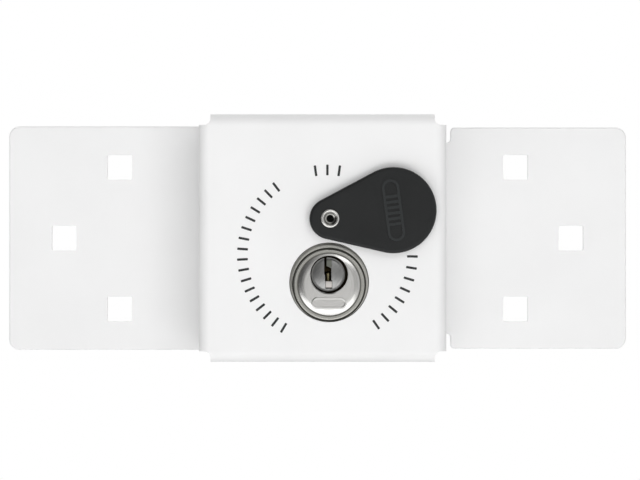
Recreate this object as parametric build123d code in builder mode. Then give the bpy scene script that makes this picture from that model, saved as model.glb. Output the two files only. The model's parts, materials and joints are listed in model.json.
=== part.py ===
from build123d import *
import os
from math import acos, cos, degrees, pi, radians, sin, sqrt, tan

# Van door lock in millimetres: X to the right, Z up, the front faces -Y.
# The door is the plane Y = 0, and the origin is the middle of the housing.
# A depth is a distance in front of the door.

os.makedirs("parts", exist_ok=True)

# Corners of an outline are found within this distance of a known place
match_tolerance = 0.01

# Disc lock and its rotary shackle
disc_x = 1.75
disc_shell = 2.0
shackle_radius = 22.0
rod_radius = 4.5
rod_clearance = 0.1
channel_wall = 5.4
channel_floor_gap = 0.5
shackle_tip_angle = 117.0
shackle_arc = 225.0
shackle_travel = 55.0
shackle_end_play = 2.0
shackle_tip_chamfer = 1.4
core_web = 0.6
core_front_depth = 28.5
shell_seam_depth = 16.5
shell_seam_gap = 0.1
shell_edge_radius = 3.0
shell_bend_radius = 1.0
core_edge_chamfer = 1.2

# Door plates and their square bolt holes
plate_thickness = 3.0
plate_corner_radius = 3.4
plate_edge_radius = 0.5
plate_side_gap = 0.25
lock_plate_reach = 101.6
keeper_reach = 98.4
keeper_shoulder_step = 4.9
neck_insert = 9.0
shoulder_gap = 2.5
shoulder_radius = 1.3
hole_side = 8.0
hole_corner_radius = 0.4
hole_end_distance = 17.8
hole_column_spacing = 18.0
hole_row_spacing = 46.0

# Folded housing
housing_sheet = 2.5
housing_bend_radius = 3.5
disc_side_gap = 0.75
disc_end_gap = 2.5
cap_space = 3.0
flange_door_gap = 0.3
flange_neck_gap = 0.3
corner_notch_width = 3.7
corner_notch_height = 3.4
corner_relief_radius = 1.9

# Keeper's tongue and staple
tongue_upper_margin = 0.53
tongue_lower_margin = 1.07
tongue_overhang = 8.0
keeper_gap = 1.5
staple_thickness = 9.0
staple_eye_gap = 1.0
staple_eye_wall = 3.2
staple_edge_chamfer = 0.6
staple_slot_gap = 1.3
staple_side_gap = 2.0
tenon_width = 6.0
tenon_height = 12.0
tenon_clearance = 0.05
tenon_recess = 0.2

# Cylinder: plug, pins and pinion
plug_radius = 5.0
plug_head_radius = 5.3
plug_head_bevel = 0.7
plug_head_bevel_drop = 0.3
running_clearance = 0.05
barrel_wall = 2.55
leg_width = 6.4
leg_corner_radius = 1.2
seat_clearance = 0.1
pin_count = 5
pin_spacing = 3.2
pin_row_front_wall = 2.0
pin_radius = 1.2
pin_clearance = 0.1
pin_shear_gap = 0.1
pin_tip_length = 0.8
key_pin_tops = [0.4, -0.9, 0.6, -0.2, 1.1]
pin_hole_top = 1.6
pin_hole_run_out = 1.0
driver_length = 2.6
strip_thickness = 0.8
strip_width = 3.4
spring_wire_radius = 0.18
spring_turns = 4
keyway_outline = [
    (-1.25, 5.6),
    (-0.5, 5.6),
    (-0.5, 2.6),
    (1.0, 2.0),
    (1.0, -2.0),
    (-1.0, -2.0),
    (-1.0, -0.4),
    (-1.25, 0.2),
]
keyway_rear_wall = 2.2
entry_depth = 0.7
entry_lower_corners = ((-0.9, -4.5), (1.3, -1.9))
entry_upper_corners = ((-0.6, 2.3), (1.1, 4.6))
clip_thickness = 0.8
clip_gap = 0.1
clip_groove_depth = 0.6
clip_rim = 1.3
clip_opening_angle = 50.0
tail_flat_depth = 0.7
tail_groove_depth = 0.3

# Internal gear: pinion on the plug, toothed segment on the shackle
ring_pitch_inset = 0.4
ring_teeth = 36
pinion_teeth = 12
pressure_angle = 25.0
gear_backlash = 0.12
gear_addendum = 0.78
gear_root_clearance = 0.26
gear_width = 3.2
gear_pocket_gap = 0.35
segment_lead_angle = 14.0
tooth_root_overlap = 0.2
pinion_rim = 1.65
first_space_angle = -100.0
tooth_space_count = 9

# Fixing screws of the disc
screw_radius = 2.0
screw_length = 17.0
screw_head_radius = 4.0
screw_head_recess = 0.1
screw_clearance = 0.2
screw_thread_clearance = 0.05
screw_socket_width = 2.5
screw_socket_depth = 1.4
screw_hole_run_out = 1.0
boss_screw_inset = 4.65
boss_screw_angles = [20.0, 195.0]

# Keyhole cap: a flanged cup with a boss set below its middle, and a low dome on the boss
cap_shift = 0.3
cap_offset = 2.5
cap_radius = 12.4
cap_wall = 1.2
cap_hole_gap = 0.12
cap_stand = 0.45
cap_flange_width = 1.8
cap_flange_thickness = 1.8
cap_shoulder_radius = 0.9
boss_drop = 0.7
boss_radius = 11.15
boss_rise = 0.4
boss_edge_radius = 0.35
boss_groove_width = 0.4
boss_groove_depth = 0.5
ring_width = 1.1
ring_groove_width = 0.35
ring_groove_depth = 0.35
dome_edge_drop = 0.1
dome_shoulder_width = 2.5
dome_shoulder_rise = 0.45
dome_crown_rise = 0.12
plug_recess = 0.6
plug_hole_gap = 0.6
plug_hole_chamfer = 0.25
pill_length = 10.4
pill_height = 3.1
pill_drop = 5.8
pill_rise = 0.14
pill_rim = 0.35
pill_floor_drop = 0.1

# Keyhole cover, its rivet and washer
rivet_x = 2.36
rivet_z = 6.1
cover_open_angle = 7.55
cover_length = 20.0
cover_small_radius = 6.5
cover_big_radius = 13.5
cover_stand = 1.6
cover_thickness = 2.8
cover_edge_radius = 0.9
cover_pocket_wall = 2.5
cover_pocket_depth = 0.7
grip_length = 19.5
grip_width = 5.4
grip_wall = 0.8
grip_rise = 0.4
grip_rib_count = 6
grip_rib_width = 0.9
rivet_radius = 2.0
rivet_bore_radius = 1.15
rivet_head_radius = 2.9
rivet_roll_width = 0.85
rivet_funnel_drop = 0.45
rivet_head_gap = 0.1
rivet_head_thickness = 0.8
rivet_tail_thickness = 0.8
washer_radius = 5.0
washer_gap = 0.3

# Depths of the stack, from the door outwards
rear_floor_depth = plate_thickness + disc_shell
shackle_depth = rear_floor_depth + channel_floor_gap + rod_radius
channel_depth = shackle_depth + rod_radius + rod_clearance
cylinder_rear = channel_depth + core_web
disc_front_depth = core_front_depth + disc_shell
face_back = disc_front_depth + cap_space
housing_depth = face_back + housing_sheet
cap_face_back = face_back + clip_gap
cap_rim_depth = housing_depth + cap_stand
ring_depth = cap_rim_depth + boss_rise
dome_edge_depth = ring_depth - dome_edge_drop
dome_flat_depth = dome_edge_depth + dome_shoulder_rise
dome_top_depth = dome_flat_depth + dome_crown_rise
plug_front = dome_top_depth - plug_recess
cover_back = housing_depth + cover_stand
cover_front = cover_back + cover_thickness

# Gear sizes
ring_pitch_radius = shackle_radius - rod_radius - ring_pitch_inset
gear_module = 2 * ring_pitch_radius / ring_teeth
pinion_pitch_radius = gear_module * pinion_teeth / 2
plug_drop = ring_pitch_radius - pinion_pitch_radius
addendum = gear_addendum * gear_module
ring_tip_radius = ring_pitch_radius - addendum
ring_root_radius = ring_pitch_radius + addendum + gear_root_clearance
pinion_tip_radius = pinion_pitch_radius + addendum
pinion_root_radius = pinion_pitch_radius - addendum - gear_root_clearance
tail_radius = pinion_root_radius - pinion_rim - running_clearance
tail_flat_width = 2 * (tail_radius - tail_flat_depth)
pocket_radius = max(pinion_tip_radius, plug_radius + clip_rim) + gear_pocket_gap
boss_screw_radius = ring_tip_radius - boss_screw_inset

# Staple: its eye straddles the shackle's arc
staple_half = staple_thickness / 2
arc_sag = shackle_radius - sqrt(shackle_radius**2 - staple_half**2)
staple_z = shackle_radius - arc_sag / 2
eye_radius = rod_radius + staple_eye_gap
staple_radius = eye_radius + staple_eye_wall
slot_half_width = staple_half + staple_side_gap
slot_bottom = staple_z - staple_radius - staple_slot_gap
slot_depth = shackle_depth + staple_radius + staple_slot_gap

# Sizes across, worked out from the disc and the staple
channel_inner = shackle_radius - rod_radius - rod_clearance
channel_outer = shackle_radius + rod_radius + rod_clearance
core_radius = channel_outer + channel_wall
disc_radius = core_radius + disc_shell
housing_width = 2 * (disc_x + disc_radius + disc_side_gap + housing_sheet)
housing_height = 2 * (disc_radius + disc_end_gap + housing_sheet)
lock_plate_height = housing_height - 2 * (housing_sheet + plate_side_gap)
lock_plate_right = housing_width / 2 - neck_insert - keeper_gap
neck_left = housing_width / 2 - neck_insert
neck_half = staple_z + staple_radius + tongue_upper_margin
shoulder_x = housing_width / 2 + shoulder_gap
tongue_bottom = staple_z - staple_radius - tongue_lower_margin
tongue_left = disc_x - tongue_overhang

# Cylinder sizes
plug_z = -plug_drop
cap_x = disc_x + cap_shift
cap_z = plug_z - cap_offset
boss_z = cap_z - boss_drop
bore_radius = plug_radius + running_clearance
barrel_radius = bore_radius + barrel_wall
cap_recess_radius = cap_radius - cap_wall
leg_reach = cap_recess_radius - 2 * seat_clearance
leg_drop = sqrt(leg_reach**2 - (leg_width / 2 + cap_shift) ** 2) + cap_offset
strip_top = leg_drop - strip_thickness
pin_row_front = face_back - pin_row_front_wall
pin_depths = [pin_row_front - (pin_count - 1 - i) * pin_spacing for i in range(pin_count)]
clip_back = cylinder_rear - clip_gap - clip_thickness
shackle_tail_angle = shackle_tip_angle - shackle_arc
channel_start_angle = shackle_tip_angle + shackle_end_play
channel_arc = shackle_arc + shackle_travel + 2 * shackle_end_play
solid_middle_angle = channel_start_angle + (360 - channel_arc) / 2


def front_plane(depth, x=0.0, z=0.0):
    """Plane across the door's normal at a depth: local X is +X, local Y is +Z, it faces the front."""
    return Plane(origin=(x, -depth, z), x_dir=(1, 0, 0), z_dir=(0, -1, 0))


def side_plane(x=0.0, z=0.0):
    """Upright plane along the door's normal: local X is the depth, local Y is +Z."""
    return Plane(origin=(x, 0, z), x_dir=(0, -1, 0), z_dir=(-1, 0, 0))


def back_plane(depth, x=0.0, z=0.0):
    """Plane that faces the door: local X is +X and local Y is -Z."""
    return Plane(origin=(x, -depth, z), x_dir=(1, 0, 0), z_dir=(0, 1, 0))


def turning_plane(x, z, angle=0.0):
    """Half-section of a part turned about the line (x, z): local X is the radius, local Y the depth."""
    a = radians(angle)
    return Plane(origin=(x, 0, z), x_dir=(cos(a), 0, sin(a)), z_dir=(sin(a), 0, -cos(a)))


def turning_axis(x, z):
    """Line along +Y through (x, z): a positive turn is clockwise seen from the front."""
    return Axis((x, 0, z), (0, 1, 0))


def polar(radius, angle):
    """Point at a radius and an angle in degrees, anticlockwise from +X."""
    return (radius * cos(radians(angle)), radius * sin(radians(angle)))


def finish(piece, name):
    """Label a finished piece and write its file."""
    piece.part.label = name
    export_step(piece.part, f"parts/{name}.step")


def involute(angle):
    """Involute function of a pressure angle in radians."""
    return tan(angle) - angle


def tooth_shape(teeth, pitch_thickness, inner, outer):
    """Face of one involute tooth that points along +X from the gear's centre."""
    pitch_radius = gear_module * teeth / 2
    base_radius = pitch_radius * cos(radians(pressure_angle))
    start = max(inner, base_radius)

    def half_angle(radius):
        local = acos(base_radius / max(radius, base_radius))
        return pitch_thickness / (2 * pitch_radius) + involute(radians(pressure_angle)) - involute(local)

    middle = (start + outer) / 2
    upper = [polar(r, degrees(half_angle(r))) for r in (start, middle, outer)]
    lower = [(x, -y) for x, y in upper]
    foot = polar(inner, degrees(half_angle(start)))
    with BuildSketch() as shape:
        with BuildLine():
            ThreePointArc(*upper)
            ThreePointArc(upper[2], (outer, 0), lower[2])
            ThreePointArc(*lower)
            if start > inner:
                Polyline(lower[0], (foot[0], -foot[1]), foot, upper[0])
            else:
                Line(lower[0], upper[0])
        make_face()
    return shape.face()


def sector_shape(inner, outer, start_angle, arc):
    """Face of a ring segment from a start angle, clockwise by an arc."""
    end_angle = start_angle - arc
    middle_angle = start_angle - arc / 2
    with BuildSketch() as shape:
        with BuildLine():
            ThreePointArc(polar(outer, start_angle), polar(outer, middle_angle), polar(outer, end_angle))
            Line(polar(outer, end_angle), polar(inner, end_angle))
            ThreePointArc(polar(inner, end_angle), polar(inner, middle_angle), polar(inner, start_angle))
            Line(polar(inner, start_angle), polar(outer, start_angle))
        make_face()
    return shape.face()


def cylinder_outline(clearance):
    """Outline of the cylinder body about the plug's axis: a barrel with a leg under it."""
    with BuildSketch() as shape:
        Circle(barrel_radius + clearance)
        with Locations((0, -(leg_drop + clearance) / 2)):
            Rectangle(leg_width + 2 * clearance, leg_drop + clearance)
        fillet(shape.vertices().group_by(Axis.Y)[0], leg_corner_radius)
    return shape.face()


def folded_section(half_span, left_foot, right_foot):
    """U section of the folded sheet: local X is across, local Y is the depth."""
    inner = half_span - housing_sheet
    with BuildSketch() as shape:
        with BuildLine():
            Polyline(
                (-half_span, left_foot),
                (-half_span, housing_depth),
                (half_span, housing_depth),
                (half_span, right_foot),
                (inner, right_foot),
                (inner, face_back),
                (-inner, face_back),
                (-inner, left_foot),
                close=True,
            )
        make_face()
        fillet(shape.vertices().group_by(Axis.Y)[-1], housing_bend_radius)
        inner_bends = shape.vertices().filter_by(lambda v: abs(v.Y - face_back) < match_tolerance)
        fillet(inner_bends, housing_bend_radius - housing_sheet)
    return shape.face()


def bolt_holes(near_column, far_column):
    """Faces of the three square holes of a door plate."""
    row = hole_row_spacing / 2
    with BuildSketch() as shape:
        with Locations((near_column, row), (far_column, 0), (near_column, -row)):
            RectangleRounded(hole_side, hole_side, hole_corner_radius)
    return shape.sketch


def countersunk_places():
    """Places of the disc's fixing screws, from the disc's centre."""
    bosses = [polar(boss_screw_radius, angle) for angle in boss_screw_angles]
    return bosses + [polar(shackle_radius, solid_middle_angle)]


# Lock plate: runs on under the housing, with a cut corner for the keeper's neck and tongue
plate_half = lock_plate_height / 2
with BuildPart() as lock_plate:
    with BuildSketch(front_plane(0)) as outline:
        with BuildLine():
            Polyline(
                (-lock_plate_reach, -plate_half),
                (-lock_plate_reach, plate_half),
                (tongue_left - keeper_gap, plate_half),
                (tongue_left - keeper_gap, tongue_bottom - keeper_gap),
                (lock_plate_right, tongue_bottom - keeper_gap),
                (lock_plate_right, -plate_half),
                close=True,
            )
        make_face()
        fillet(outline.vertices().group_by(Axis.X)[0], plate_corner_radius)
    extrude(amount=plate_thickness)
    outer_edges = lock_plate.faces().sort_by(Axis.Y)[0].edges()
    fillet(outer_edges, plate_edge_radius)
    near_x = -lock_plate_reach + hole_end_distance + hole_column_spacing
    with BuildSketch(front_plane(0)):
        add(bolt_holes(near_x, near_x - hole_column_spacing))
    extrude(amount=plate_thickness, mode=Mode.SUBTRACT)
    with Locations(back_plane(0, disc_x)):
        with Locations(*[(x, -z) for x, z in countersunk_places()]):
            CounterSinkHole(screw_radius + screw_clearance, screw_head_radius, plate_thickness)
finish(lock_plate, "lock_plate")

# Housing: one sheet folded on four sides, with relieved corners
half_width = housing_width / 2
half_height = housing_height / 2
upright_plane = Plane(origin=(0, 0, 0), x_dir=(0, 0, 1), z_dir=(1, 0, 0))
notch_x = half_width - corner_notch_width
notch_z = half_height - corner_notch_height
with BuildPart() as upright_fold:
    with BuildSketch(upright_plane):
        add(folded_section(half_height, flange_door_gap, flange_door_gap))
    extrude(amount=half_width, both=True)
with BuildPart() as level_fold:
    with BuildSketch(turning_plane(0, 0)):
        add(folded_section(half_width, plate_thickness, plate_thickness))
    extrude(amount=half_height, both=True)
with BuildPart() as corner_webs:
    with BuildSketch(front_plane(face_back)):
        with GridLocations(2 * notch_x + corner_relief_radius, 2 * notch_z + corner_relief_radius, 2, 2):
            Rectangle(corner_relief_radius, corner_relief_radius)
        web_reach = 2 * corner_relief_radius
        with GridLocations(2 * notch_x + web_reach, 2 * notch_z + web_reach, 2, 2):
            Circle(corner_relief_radius, mode=Mode.SUBTRACT)
    extrude(amount=housing_sheet)
    add(upright_fold.part, mode=Mode.INTERSECT)
    add(level_fold.part, mode=Mode.INTERSECT)
with BuildPart() as housing:
    with BuildSketch(upright_plane):
        add(folded_section(half_height, flange_door_gap, flange_door_gap))
    extrude(amount=notch_x, both=True)
    with BuildSketch(turning_plane(0, 0)):
        add(folded_section(half_width, plate_thickness, plate_thickness + flange_neck_gap))
    extrude(amount=notch_z, both=True)
    add(corner_webs.part)
    with BuildSketch(front_plane(face_back)):
        with Locations((cap_x, cap_z)):
            Circle(cap_radius + cap_hole_gap)
        with Locations((rivet_x, rivet_z)):
            Circle(rivet_radius + running_clearance)
    extrude(amount=housing_sheet, mode=Mode.SUBTRACT)
finish(housing, "housing")

# Keeper plate: shoulders outside the housing, neck and tongue under it
keeper_half = neck_half + keeper_shoulder_step
with BuildPart() as keeper_plate:
    with BuildSketch(front_plane(0)) as outline:
        with BuildLine():
            Polyline(
                (keeper_reach, -keeper_half),
                (keeper_reach, keeper_half),
                (shoulder_x, keeper_half),
                (shoulder_x, neck_half),
                (tongue_left, neck_half),
                (tongue_left, tongue_bottom),
                (neck_left, tongue_bottom),
                (neck_left, -neck_half),
                (shoulder_x, -neck_half),
                (shoulder_x, -keeper_half),
                close=True,
            )
        make_face()
        fillet(outline.vertices().group_by(Axis.X)[-1], plate_corner_radius)
        shoulders = outline.vertices().filter_by(lambda v: abs(v.X - shoulder_x) < match_tolerance)
        fillet(shoulders, shoulder_radius)
        fillet(outline.vertices().group_by(Axis.X)[0], plate_corner_radius)
    extrude(amount=plate_thickness)
    outer_edges = keeper_plate.faces().sort_by(Axis.Y)[0].edges()
    fillet(outer_edges, plate_edge_radius)
    near_x = keeper_reach - hole_end_distance - hole_column_spacing
    with BuildSketch(front_plane(0)):
        add(bolt_holes(near_x, near_x + hole_column_spacing))
        with Locations((disc_x, staple_z)):
            Rectangle(tenon_width + 2 * tenon_clearance, tenon_height + 2 * tenon_clearance)
    extrude(amount=plate_thickness, mode=Mode.SUBTRACT)
finish(keeper_plate, "keeper_plate")

# Staple: an eye on a foot, with a tenon through the tongue
with BuildPart() as keeper_staple:
    with BuildSketch(side_plane(disc_x, staple_z)):
        with Locations((shackle_depth, 0)):
            Circle(staple_radius)
        with Locations((shackle_depth, 0)):
            Rectangle(2 * staple_radius, 2 * staple_radius, align=(Align.MAX, Align.CENTER))
        staple_reach = shackle_depth + staple_radius - plate_thickness
        with Locations((plate_thickness, 0)):
            trim_align = (Align.MIN, Align.CENTER)
            Rectangle(staple_reach, 2 * staple_radius, align=trim_align, mode=Mode.INTERSECT)
        with Locations((shackle_depth, 0)):
            Circle(eye_radius, mode=Mode.SUBTRACT)
    extrude(amount=staple_half, both=True)
    eye_edges = keeper_staple.edges().filter_by(GeomType.CIRCLE)
    chamfer(eye_edges, staple_edge_chamfer)
    with BuildSketch(front_plane(tenon_recess, disc_x, staple_z)):
        Rectangle(tenon_width, tenon_height)
    extrude(amount=plate_thickness - tenon_recess)
finish(keeper_staple, "keeper_staple")

# Rear shell: pressed cup on the lock plate, open where the staple comes in
with BuildPart() as disc_rear_shell:
    with BuildSketch(turning_plane(disc_x, 0)) as section:
        with BuildLine():
            Polyline(
                (0, plate_thickness),
                (disc_radius, plate_thickness),
                (disc_radius, shell_seam_depth),
                (core_radius, shell_seam_depth),
                (core_radius, rear_floor_depth),
                (0, rear_floor_depth),
                close=True,
            )
        make_face()
        outer_corner = section.vertices().group_by(Axis.X)[-1].sort_by(Axis.Y)[0]
        fillet(outer_corner, shell_edge_radius)
        inner_corners = section.vertices().filter_by(lambda v: abs(v.X - core_radius) < match_tolerance)
        fillet(inner_corners.sort_by(Axis.Y)[0], shell_bend_radius)
    revolve(axis=turning_axis(disc_x, 0))
    with BuildSketch(front_plane(plate_thickness, disc_x)):
        with Locations((0, (slot_bottom + disc_radius) / 2)):
            Rectangle(2 * slot_half_width, disc_radius - slot_bottom)
        with Locations(*countersunk_places()):
            Circle(screw_radius + screw_clearance)
    extrude(amount=shell_seam_depth - plate_thickness, mode=Mode.SUBTRACT)
finish(disc_rear_shell, "disc_rear_shell")

# Front shell: the matching cup, with the cylinder's outline cut through its floor
with BuildPart() as disc_front_shell:
    with BuildSketch(turning_plane(disc_x, 0)) as section:
        with BuildLine():
            Polyline(
                (0, disc_front_depth),
                (disc_radius, disc_front_depth),
                (disc_radius, shell_seam_depth + shell_seam_gap),
                (core_radius, shell_seam_depth + shell_seam_gap),
                (core_radius, core_front_depth),
                (0, core_front_depth),
                close=True,
            )
        make_face()
        outer_corner = section.vertices().group_by(Axis.X)[-1].sort_by(Axis.Y)[-1]
        fillet(outer_corner, shell_edge_radius)
        inner_corners = section.vertices().filter_by(lambda v: abs(v.X - core_radius) < match_tolerance)
        fillet(inner_corners.sort_by(Axis.Y)[-1], shell_bend_radius)
    revolve(axis=turning_axis(disc_x, 0))
    with BuildSketch(front_plane(shell_seam_depth, disc_x)):
        with Locations((0, (slot_bottom + disc_radius) / 2)):
            Rectangle(2 * slot_half_width, disc_radius - slot_bottom)
    extrude(amount=slot_depth - shell_seam_depth, mode=Mode.SUBTRACT)
    with BuildSketch(front_plane(core_front_depth, disc_x, plug_z)):
        add(cylinder_outline(seat_clearance))
    extrude(amount=disc_shell, mode=Mode.SUBTRACT)
finish(disc_front_shell, "disc_front_shell")

# Core: casting with the shackle's channel, the gear pocket and the cylinder's seat
with BuildPart() as disc_core:
    with BuildSketch(front_plane(rear_floor_depth, disc_x)):
        Circle(core_radius)
    extrude(amount=core_front_depth - rear_floor_depth)
    chamfer(disc_core.edges().filter_by(GeomType.CIRCLE), core_edge_chamfer)
    with BuildSketch(turning_plane(disc_x, 0, channel_start_angle)):
        with Locations((shackle_radius, shackle_depth)):
            Circle(rod_radius + rod_clearance)
        with Locations((shackle_radius, (rear_floor_depth + shackle_depth) / 2)):
            Rectangle(channel_outer - channel_inner, shackle_depth - rear_floor_depth)
    revolve(axis=turning_axis(disc_x, 0), revolution_arc=channel_arc, mode=Mode.SUBTRACT)
    segment_front = shackle_depth + gear_width / 2 + gear_pocket_gap
    with BuildSketch(front_plane(rear_floor_depth, disc_x)):
        add(sector_shape(ring_tip_radius - gear_pocket_gap, shackle_radius, channel_start_angle, channel_arc))
    extrude(amount=segment_front - rear_floor_depth, mode=Mode.SUBTRACT)
    with BuildSketch(front_plane(rear_floor_depth, disc_x)):
        with Locations((0, plug_z)):
            Circle(pocket_radius)
    extrude(amount=cylinder_rear - rear_floor_depth, mode=Mode.SUBTRACT)
    with BuildSketch(front_plane(cylinder_rear, disc_x, plug_z)):
        add(cylinder_outline(seat_clearance))
    extrude(amount=core_front_depth - cylinder_rear, mode=Mode.SUBTRACT)
    with BuildSketch(front_plane(rear_floor_depth, disc_x)):
        with Locations((0, (slot_bottom + disc_radius) / 2)):
            Rectangle(2 * slot_half_width, disc_radius - slot_bottom)
    extrude(amount=slot_depth - rear_floor_depth, mode=Mode.SUBTRACT)
    with BuildSketch(front_plane(rear_floor_depth, disc_x)):
        with Locations(*countersunk_places()):
            Circle(screw_radius + screw_thread_clearance)
    extrude(amount=screw_length + screw_hole_run_out - rear_floor_depth, mode=Mode.SUBTRACT)
finish(disc_core, "disc_core")

# Shackle: round arc with a toothed segment along its inside
with BuildPart() as shackle:
    with BuildSketch(turning_plane(disc_x, 0, shackle_tip_angle)):
        with Locations((shackle_radius, shackle_depth)):
            Circle(rod_radius)
    revolve(axis=turning_axis(disc_x, 0), revolution_arc=shackle_arc)
    tip_centre = polar(shackle_radius, shackle_tip_angle)
    tip_point = (disc_x + tip_centre[0], -shackle_depth, tip_centre[1])
    tip_face = shackle.faces().filter_by(GeomType.PLANE).sort_by_distance(tip_point)[0]
    chamfer(tip_face.edges(), shackle_tip_chamfer)
    segment_arc = -segment_lead_angle - shackle_tail_angle
    with BuildSketch(front_plane(shackle_depth - gear_width / 2, disc_x)):
        add(sector_shape(ring_tip_radius, shackle_radius, -segment_lead_angle, segment_arc))
    extrude(amount=gear_width)
    space_width = pi * gear_module / 2 + gear_backlash
    ring_space = tooth_shape(ring_teeth, space_width, ring_tip_radius - gear_pocket_gap, ring_root_radius)
    pitch_step = 360 / ring_teeth
    with BuildSketch(front_plane(shackle_depth - gear_width / 2, disc_x)):
        for i in range(tooth_space_count):
            add(ring_space, rotation=first_space_angle + i * pitch_step)
    extrude(amount=gear_width, mode=Mode.SUBTRACT)
finish(shackle, "shackle")

# Pinion on the plug's tail
tooth_thickness = pi * gear_module / 2 - gear_backlash
with BuildPart() as plug_pinion:
    with BuildSketch(front_plane(shackle_depth - gear_width / 2, disc_x, plug_z)):
        Circle(pinion_root_radius)
        tooth_foot = pinion_root_radius - tooth_root_overlap
        pinion_tooth = tooth_shape(pinion_teeth, tooth_thickness, tooth_foot, pinion_tip_radius)
        for i in range(pinion_teeth):
            add(pinion_tooth, rotation=-90 + i * 360 / pinion_teeth)
    extrude(amount=gear_width)
    with BuildSketch(front_plane(shackle_depth - gear_width / 2, disc_x, plug_z)):
        Circle(tail_radius + running_clearance)
        Rectangle(tail_flat_width + 2 * running_clearance, 3 * tail_radius, mode=Mode.INTERSECT)
    extrude(amount=gear_width, mode=Mode.SUBTRACT)
finish(plug_pinion, "plug_pinion")

# Plug: head, body with the keyway and pin holes, grooves for the clips, and a flatted tail
tail_clip_front = shackle_depth - gear_width / 2 - clip_gap
tail_rear = tail_clip_front - 2 * clip_thickness
body_rear = clip_back - clip_thickness
with BuildPart() as plug:
    with BuildSketch(front_plane(body_rear, disc_x, plug_z)):
        Circle(plug_radius)
    extrude(amount=cap_face_back - body_rear)
    with BuildSketch(front_plane(cap_face_back, disc_x, plug_z)):
        Circle(plug_head_radius)
    extrude(amount=plug_front - cap_face_back)
    head_rim = plug.faces().sort_by(Axis.Y)[0].edges()
    chamfer(head_rim, plug_head_bevel_drop, plug_head_bevel)
    with BuildSketch(front_plane(tail_rear, disc_x, plug_z)):
        Circle(tail_radius)
        Rectangle(tail_flat_width, 3 * tail_radius, mode=Mode.INTERSECT)
    extrude(amount=body_rear - tail_rear)
    with BuildSketch(front_plane(clip_back, disc_x, plug_z)):
        Circle(plug_radius)
        Circle(plug_radius - clip_groove_depth, mode=Mode.SUBTRACT)
    extrude(amount=clip_thickness + clip_gap / 2, mode=Mode.SUBTRACT)
    with BuildSketch(front_plane(tail_clip_front - clip_thickness - clip_gap / 2, disc_x, plug_z)):
        Circle(tail_radius + clip_gap)
        Circle(tail_flat_width / 2 - tail_groove_depth, mode=Mode.SUBTRACT)
    extrude(amount=clip_thickness + clip_gap / 2, mode=Mode.SUBTRACT)
    keyway_back = cylinder_rear + keyway_rear_wall
    with BuildSketch(front_plane(keyway_back, disc_x, plug_z)):
        with BuildLine():
            Polyline(*keyway_outline, close=True)
        make_face()
    extrude(amount=plug_front - keyway_back, mode=Mode.SUBTRACT)
    with BuildSketch(front_plane(plug_front - entry_depth, disc_x, plug_z)):
        for (left, bottom), (right, top) in (entry_lower_corners, entry_upper_corners):
            with Locations(((left + right) / 2, (bottom + top) / 2)):
                Rectangle(right - left, top - bottom)
    extrude(amount=entry_depth, mode=Mode.SUBTRACT)
    for depth in pin_depths:
        with BuildSketch(Plane(origin=(disc_x, -depth, plug_z - plug_radius - pin_hole_run_out))):
            Circle(pin_radius + pin_clearance)
        extrude(amount=pin_hole_run_out + plug_radius + pin_hole_top, mode=Mode.SUBTRACT)
finish(plug, "plug")

# Retaining clips: open rings in the plug's grooves
clips = {
    "plug_clip": (clip_back, plug_radius - clip_groove_depth, plug_radius + clip_rim),
    "pinion_clip": (
        tail_clip_front - clip_thickness,
        tail_flat_width / 2 - tail_groove_depth,
        tail_radius + clip_rim,
    ),
}
for name, (depth, groove_radius, rim_radius) in clips.items():
    with BuildPart() as clip:
        with BuildSketch(front_plane(depth, disc_x, plug_z)):
            ring_inside = groove_radius + running_clearance
            ring_start = 90 - clip_opening_angle / 2
            add(sector_shape(ring_inside, rim_radius, ring_start, 360 - clip_opening_angle))
        extrude(amount=clip_thickness - clip_gap / 2)
    finish(clip, name)

# Cylinder body: barrel and leg, with the pin chambers drilled up from the leg
with BuildPart() as cylinder_body:
    with BuildSketch(front_plane(cylinder_rear, disc_x, plug_z)):
        add(cylinder_outline(0))
        Circle(bore_radius, mode=Mode.SUBTRACT)
    extrude(amount=face_back - cylinder_rear)
    strip_groove = strip_width + 2 * running_clearance
    with BuildSketch(front_plane(cylinder_rear, disc_x, plug_z)):
        with Locations((0, -leg_drop + strip_thickness / 2)):
            Rectangle(strip_groove, strip_thickness)
    extrude(amount=face_back - cylinder_rear, mode=Mode.SUBTRACT)
    for depth in pin_depths:
        with BuildSketch(Plane(origin=(disc_x, -depth, plug_z - leg_drop))):
            Circle(pin_radius + pin_clearance)
        extrude(amount=leg_drop - plug_radius / 2, mode=Mode.SUBTRACT)
finish(cylinder_body, "cylinder_body")

# Strip that closes the chambers
with BuildPart() as chamber_strip:
    with BuildSketch(front_plane(cylinder_rear, disc_x, plug_z)):
        with Locations((0, -leg_drop + strip_thickness / 2)):
            Rectangle(strip_width, strip_thickness)
    extrude(amount=face_back - cylinder_rear)
finish(chamber_strip, "chamber_strip")

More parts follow.
